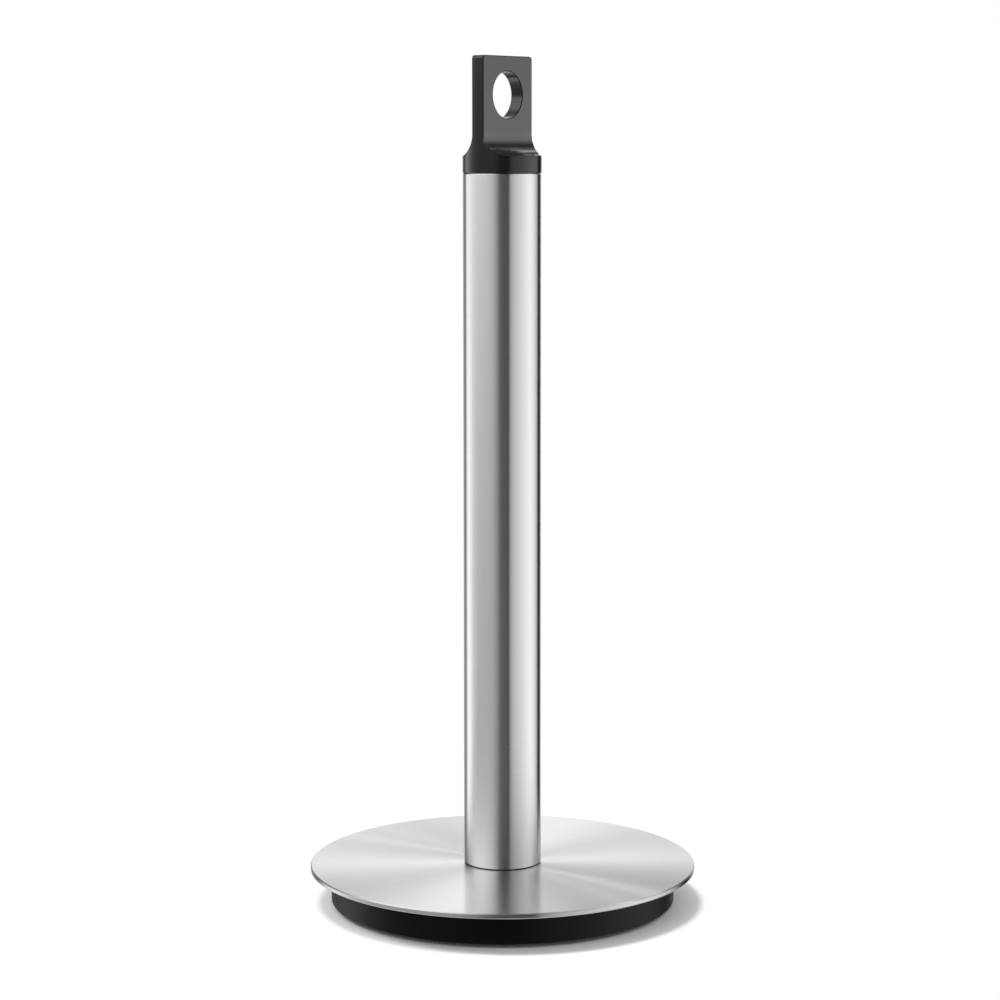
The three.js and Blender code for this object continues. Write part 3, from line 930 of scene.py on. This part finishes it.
def makeBallast():
    values = ballastValues
    low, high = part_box("ballast")
    rodHole, radius = axisReach("ballast")
    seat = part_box("clamp_washer")[1].z
    chamfer, r = values["chamfer"], values["cornerRound"]
    wide = values["counterboreRadius"]
    ballast = turnOnLathe("ballast", roundCorners([
        (wide, low.z, r), (radius - chamfer, low.z, r), (radius, low.z + chamfer, r),
        (radius, high.z - chamfer, r), (radius - chamfer, high.z, r), (rodHole, high.z, r / 2),
        (rodHole, seat, 0), (wide, seat, 0),
    ], values["roundSteps"]), values["sides"])
    hole, mouth = values["tappedRadius"], values["tappedMouth"]
    below, end = low.z - overcut, low.z + values["tappedDepth"]
    cutAtScrews(ballast, [
        (0, below), (mouth, below), (mouth, low.z), (hole, low.z + mouth - hole),
        (hole, end), (values["drillTip"], end + hole / 2), (0, end + hole / 2)])
    fit(ballast, "ballast", castIron)


trayValues = {
    "sides": 256, "wall": 0.0025, "floor": 0.0024, "bottomRound": 0.0007, "insideRound": 0.001,
    "lipRound": 0.0003, "roundSteps": 6, "accessHole": 0.0125, "grooveDepth": 0.001,
    "grooveGap": 0.0001, "ribs": 12, "ribThickness": 0.0016, "ribShort": 0.0014,
    "ballastGap": 0.0002, "countersinkGap": 0.0001, "shankGap": 0.0003, "headRecess": 0.00015,
    "headRim": 0.0002,
}


def makeTray():
    # tray with a groove for the foot ring, ribs that centre the ballast, and countersunk holes
    values = trayValues
    low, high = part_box("base_housing")
    radius = axisReach("base_housing")[1]
    bore = radius - values["wall"]
    floor = low.z + values["floor"]
    ringInner, ringOuter = axisReach("foot_ring")
    grooveInner, grooveOuter = ringInner - values["grooveGap"], ringOuter + values["grooveGap"]
    grooveRoof = low.z + values["grooveDepth"]
    lip = values["lipRound"]
    tray = turnOnLathe("baseTray", roundCorners([
        (values["accessHole"], low.z, lip), (grooveInner, low.z, lip / 2),
        (grooveInner, grooveRoof, 0), (grooveOuter, grooveRoof, 0), (grooveOuter, low.z, lip / 2),
        (radius, low.z, values["bottomRound"]), (radius, high.z, lip), (bore, high.z, lip),
        (bore, floor, values["insideRound"]), (values["accessHole"], floor, lip),
    ], values["roundSteps"]), values["sides"])
    half = values["ribThickness"] / 2
    ribFace = axisReach("ballast")[1] + values["ballastGap"]
    ribTop = high.z - values["ribShort"]
    rib = addBlock("trayRib", (ribFace, -half, floor - values["floor"] / 4),
                   (bore + values["wall"] / 2, half, ribTop))
    startEditing(rib, "EDGE")
    selectEdges(lambda co: abs(co.x - ribFace) < samePlace and abs(co.z - ribTop) < samePlace)
    bpy.ops.mesh.bevel(offset=values["ribShort"], segments=1, affect="EDGES")
    stopEditing()
    ribs = copyAround(rib, values["ribs"], math.pi / values["ribs"])
    cutWith(tray, joinAll(ribs), "UNION")
    screwLow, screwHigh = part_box("housing_screw_1")
    head = (screwHigh.x - screwLow.x) / 2 + values["countersinkGap"]
    shank = screwValues["radius"] + values["shankGap"]
    rim = low.z + values["headRecess"] + values["headRim"]
    below, above = low.z - overcut, floor + overcut
    cutAtScrews(tray, [(0, below), (head, below), (head, rim), (shank, rim + head - shank),
                       (shank, above), (0, above)])
    fit(tray, "base_housing", trayPlastic)


footRingValues = {
    "sides": 256, "edgeRound": 0.0003, "roundSteps": 4, "treads": (0.057, 0.059),
    "treadWidth": 0.0008, "treadDepth": 0.0004,
}


def makeFootRing():
    values = footRingValues
    low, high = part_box("foot_ring")
    inner, outer = axisReach("foot_ring")
    r = values["edgeRound"]
    half = values["treadWidth"] / 2
    corners = [(inner, low.z, r)]
    for tread in values["treads"]:
        corners += [(tread - half, low.z, r / 3), (tread, low.z + values["treadDepth"], r / 4),
                    (tread + half, low.z, r / 3)]
    corners += [(outer, low.z, r), (outer, high.z, r / 2), (inner, high.z, r / 2)]
    ring = turnOnLathe("footRing", roundCorners(corners, values["roundSteps"]), values["sides"])
    fit(ring, "foot_ring", footRubber)


# the screws' recess narrows to the given shares of its length and width, and each screw is
# turned by its own angle, as screws are when tight
screwValues = {
    "sides": 48, "radius": 0.002, "headRim": 0.0002, "headRound": 0.00008, "pitch": 0.0007,
    "threadDepth": 0.0003, "tipChamfer": 0.0005, "edgeRound": 0.00004, "edgeSteps": 2,
    "edgeAngle": 60, "recessReach": 0.0019, "recessWidth": 0.0009, "recessDepth": 0.0016,
    "recessTaper": (0.45, 0.7), "firstTurn": 0.4, "nextTurn": 1.3,
}


def makeScrews():
    # modelled once on the axis, then copied to its four places
    values = screwValues
    low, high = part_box("housing_screw_1")
    head = (high.x - low.x) / 2
    radius, rim, tip = values["radius"], values["headRim"], values["tipChamfer"]
    neck = low.z + rim + head - radius
    r = values["headRound"]
    outline = [(0, low.z), (head - r, low.z), (head, low.z + r), (head, low.z + rim)]
    outline += shankPoints(radius, neck, high.z - tip, values["pitch"])
    outline += [(radius - tip, high.z), (0, high.z)]
    screw = turnOnLathe("housingScrew", outline, values["sides"])
    windThread(screw, radius, neck, high.z - tip, values["pitch"], values["threadDepth"])
    half = values["recessWidth"] / 2
    for turn in (0, math.pi / 2):
        wing = addBlock("recessWing", (-values["recessReach"], -half, low.z - overcut),
                        (values["recessReach"], half, low.z + values["recessDepth"]))
        startEditing(wing, "VERT")
        selectVertices(lambda co: co.z > low.z)
        bpy.ops.transform.resize(
            value=(*values["recessTaper"], 1), center_override=(0, 0, low.z))
        stopEditing()
        wing.matrix_world = Matrix.Rotation(turn, 4, "Z")
        cutWith(screw, settle(wing, "recessWing"))
    softenEdges(screw, values["edgeRound"], values["edgeSteps"], values["edgeAngle"])
    for i, (x, y) in enumerate(screwPlaces()):
        pickOnly(screw)
        bpy.ops.object.duplicate(linked=False)
        copy = bpy.context.object
        turn = Matrix.Rotation(values["firstTurn"] + i * values["nextTurn"], 4, "Z")
        copy.matrix_world = Matrix.Translation((x, y, 0)) @ turn
        settle(copy, f"housingScrew{i + 1}")
        fit(copy, f"housing_screw_{i + 1}", zincSteel)
    bpy.data.objects.remove(screw)


makePlate()
makePad()
makeBallast()
makeTray()
makeFootRing()
makeScrews()
print("foot made")


# floor

worldValues = {"fill": 0.88, "background": 1.0}
floorValues = {
    "size": 12.0, "level": 0.9, "roughness": 0.9, "shadowReach": 0.0735, "shadowFade": 0.003,
    "shadowShift": 0.003,
}


def makeFloor():
    # pale matt sheet seen only from above, plain white away from the holder's shadow
    values = floorValues
    clearPick()
    bpy.ops.mesh.primitive_plane_add(size=values["size"], location=(0, 0, tableLevel))
    floor = settle(bpy.context.object, "floorSheet")
    material, tree, shader, place = startFinish("floorPaper")
    setInputs(tree, shader, {
        "Base Color": grey(values["level"]), "Roughness": values["roughness"],
        "Specular IOR Level": 0.0})
    aside = Vector((0, values["shadowShift"], 0))
    aside.rotate(Matrix.Rotation(math.radians(tentValues["turn"]), 3, "Z"))
    distance = addNode(tree, "VectorMath", {0: place, 1: aside}, operation="DISTANCE")["Value"]
    reach = values["shadowReach"]
    away = spread(tree, distance, 0.0, 1.0, reach, reach + values["shadowFade"])
    seen = addNode(tree, "LightPath", {})["Is Camera Ray"]
    white = addNode(tree, "Emission", {"Strength": worldValues["background"]})[0]
    paper = mixShaders(tree, addMath(tree, "MULTIPLY", away, seen), shader.outputs[0], white)
    clear = addNode(tree, "BsdfTransparent", {})[0]
    behind = addNode(tree, "NewGeometry", {})["Backfacing"]
    setInputs(tree, tree.nodes["Material Output"], {
        "Surface": mixShaders(tree, behind, paper, clear)})
    floor.data.materials.append(material)
    floor.visible_glossy = False


# light

# Levels of the light tent by direction round the holder, in degrees from the camera's side, for
# three heights: level with the holder, the middle, and overhead.
tentValues = {
    "radius": 2.5, "segments": 96, "rings": 48, "turn": -141.4,
    "lowEdge": (9.0, 19.0), "highEdge": (46.0, 56.0),
    "level": [
        (-180, 1.1), (-170, 0.7), (-155, 0.4), (-140, 0.2), (-135, 0.5), (-129, 1.4), (-120, 1.6),
        (-110, 1.3), (-98, 0.7), (-80, 0.4), (-60, 0.35), (-30, 0.4), (-15, 0.3), (-5, 0.15),
        (10, 0.15), (20, 0.05), (23, 0.5), (35, 0.8), (50, 0.95), (65, 1.1), (80, 1.3),
        (98, 1.4), (108, 1.2), (122, 0.8), (130, 0.0), (148, 0.0), (155, 0.7), (165, 1.1),
        (180, 1.1)],
    "middle": [
        (-180, 1.6), (-172, 1.4), (-166, 0.4), (-156, 0.0), (-131, 0.0), (-124, 0.4), (-109, 1.2),
        (-100, 1.9), (-85, 1.9), (-65, 1.8), (-50, 1.6), (-35, 1.3), (-20, 0.7), (-8, 0.1),
        (20, 0.0), (23, 0.4), (35, 0.45), (50, 0.65), (64, 0.85), (80, 1.05), (98, 1.1),
        (106, 0.7), (115, 0.3), (125, 0.2), (132, 0.1), (148, 0.0), (153, 1.6), (159, 1.6),
        (164, 0.0), (170, 0.0), (176, 0.9), (180, 1.6)],
    "top": [
        (-180, 1.6), (-160, 1.2), (-150, 0.7), (-132, 0.5), (-110, 1.3), (-95, 1.7), (-75, 1.6),
        (-55, 1.3), (-35, 0.75), (-20, 0.2), (-8, 0.1), (34, 0.05), (50, 0.4), (70, 0.7),
        (90, 0.8), (110, 0.6), (130, 0.5), (145, 0.6), (165, 0.9), (180, 1.6)],
}
topLevel = 2.0  # the ramps hold shares of this level


def addRamp(tree, factor, levels):
    # the two points that a ramp comes with serve the first and the last level
    node = tree.nodes.new("ShaderNodeValToRGB")
    points = node.color_ramp.elements
    for angle, level in levels[1:-1]:
        points.new(angle / 360 + 0.5)
    for point, (angle, level) in zip(points, levels):
        point.color = grey(level / topLevel)
    setInputs(tree, node, {"Fac": factor})
    return node.outputs["Color"]


def startLight(name):
    material = bpy.data.materials.new(name)
    material.use_nodes = True
    material.node_tree.nodes.clear()
    return material, material.node_tree


def finishLight(tree, inputs):
    addNode(tree, "OutputMaterial", {"Surface": addNode(tree, "Emission", inputs)[0]})


def showOnlyInGloss(piece):
    for rays in ("camera", "diffuse", "transmission", "shadow"):
        setattr(piece, "visible_" + rays, False)


def makeTent():
    # a round tent that only shiny surfaces see, lit by direction
    values = tentValues
    clearPick()
    bpy.ops.mesh.primitive_uv_sphere_add(
        segments=values["segments"], ring_count=values["rings"], radius=values["radius"])
    tent = settle(bpy.context.object, "lightTent")
    material, tree = startLight("tentLight")
    material.cycles.emission_sampling = "NONE"
    turned = addNode(tree, "VectorRotate", {
        "Vector": addNode(tree, "TexCoord", {})["Object"],
        "Angle": -math.radians(values["turn"])}, rotation_type="Z_AXIS")[0]
    x, y, z = addNode(tree, "SeparateXYZ", {0: turned})
    around = addMath(tree, "DIVIDE", addMath(tree, "ARCTAN2", y, x), 2 * math.pi)
    around = addMath(tree, "ADD", around, 0.5)
    rise = addMath(tree, "ARCSINE", addMath(tree, "DIVIDE", z, values["radius"]))
    colour = addRamp(tree, around, values["level"])
    for name, edge in (("middle", "lowEdge"), ("top", "highEdge")):
        low, high = values[edge]
        share = spread(tree, rise, 0.0, 1.0, math.radians(low), math.radians(high))
        colour = mixColours(tree, share, colour, addRamp(tree, around, values[name]))
    finishLight(tree, {"Strength": topLevel, "Color": colour})
    tent.data.materials.append(material)
    showOnlyInGloss(tent)


# Each strip's direction round the holder, rise, width and height, in degrees, and its level. The
# first draws the crisp ray on the plate, the second the streak at the eye's foot.
stripValues = {"distance": 2.4, "strips": [(131, 51, 18, 4, 3.0), (147, 39, 12, 4, 6.5)]}


def makeStrips():
    # small lamps that only shiny surfaces see
    distance = stripValues["distance"]
    for i, (around, rise, width, height, level) in enumerate(stripValues["strips"]):
        material, tree = startLight(f"stripLight{i + 1}")
        finishLight(tree, {"Strength": level})
        clearPick()
        bpy.ops.mesh.primitive_plane_add(size=distance)
        strip = bpy.context.object
        turn = Matrix.Rotation(math.radians(tentValues["turn"] + around), 4, "Z")
        tilt = Matrix.Rotation(math.radians(90 - rise), 4, "Y")
        size = Matrix.Diagonal((math.radians(height), math.radians(width), 1, 1))
        strip.matrix_world = turn @ tilt @ Matrix.Translation((0, 0, distance)) @ size
        settle(strip, f"strip{i + 1}")
        strip.data.materials.append(material)
        showOnlyInGloss(strip)


def makeWorld():
    # plain grey fill for matt surfaces, white where the camera, metal or glass sees past it all
    world = bpy.data.worlds.new("studio")
    bpy.context.scene.world = world
    world.use_nodes = True
    tree = world.node_tree
    tree.nodes.clear()
    fill, back = [
        addNode(tree, "Background", {"Strength": worldValues[name], "Color": grey(1)})[0]
        for name in ("fill", "background")]
    rays = addNode(tree, "LightPath", {})
    seen = addMath(tree, "MAXIMUM", rays["Is Camera Ray"], rays["Is Glossy Ray"])
    seen = addMath(tree, "MAXIMUM", seen, rays["Is Transmission Ray"])
    addNode(tree, "OutputWorld", {"Surface": mixShaders(tree, seen, fill, back)})


keyValues = {"rise": 55.0, "side": 90.0, "width": 16.0, "level": 0.3}


def makeKeyLight():
    # a high soft lamp from the left of the holder as the camera sees it
    values = keyValues
    data = bpy.data.lights.new("highLamp", "SUN")
    data.angle = math.radians(values["width"])
    data.energy = values["level"] * math.pi / math.sin(math.radians(values["rise"]))
    lamp = bpy.data.objects.new("highLamp", data)
    bpy.context.scene.collection.objects.link(lamp)
    lamp.rotation_euler = (0, math.radians(values["rise"] - 90),
                           math.radians(tentValues["turn"] + values["side"]))
    lamp.visible_glossy = False


makeFloor()
makeTent()
makeStrips()
makeWorld()
makeKeyLight()
print("light ready")


# camera

cameraValues = {
    "place": (-0.8074, -0.6445, 0.2900), "tilt": 82.723, "roll": 0.037, "turn": -51.355,
    "lens": 97.34, "sensor": 36.0,
}


def makeCamera():
    values = cameraValues
    data = bpy.data.cameras.new("studioCamera")
    data.lens = values["lens"]
    data.sensor_width = values["sensor"]
    camera = bpy.data.objects.new("studioCamera", data)
    bpy.context.scene.collection.objects.link(camera)
    camera.location = values["place"]
    camera.rotation_euler = [math.radians(values[name]) for name in ("tilt", "roll", "turn")]
    bpy.context.scene.camera = camera


makeCamera()
bpy.context.scene.view_settings.view_transform = "Standard"

print("scene ready")
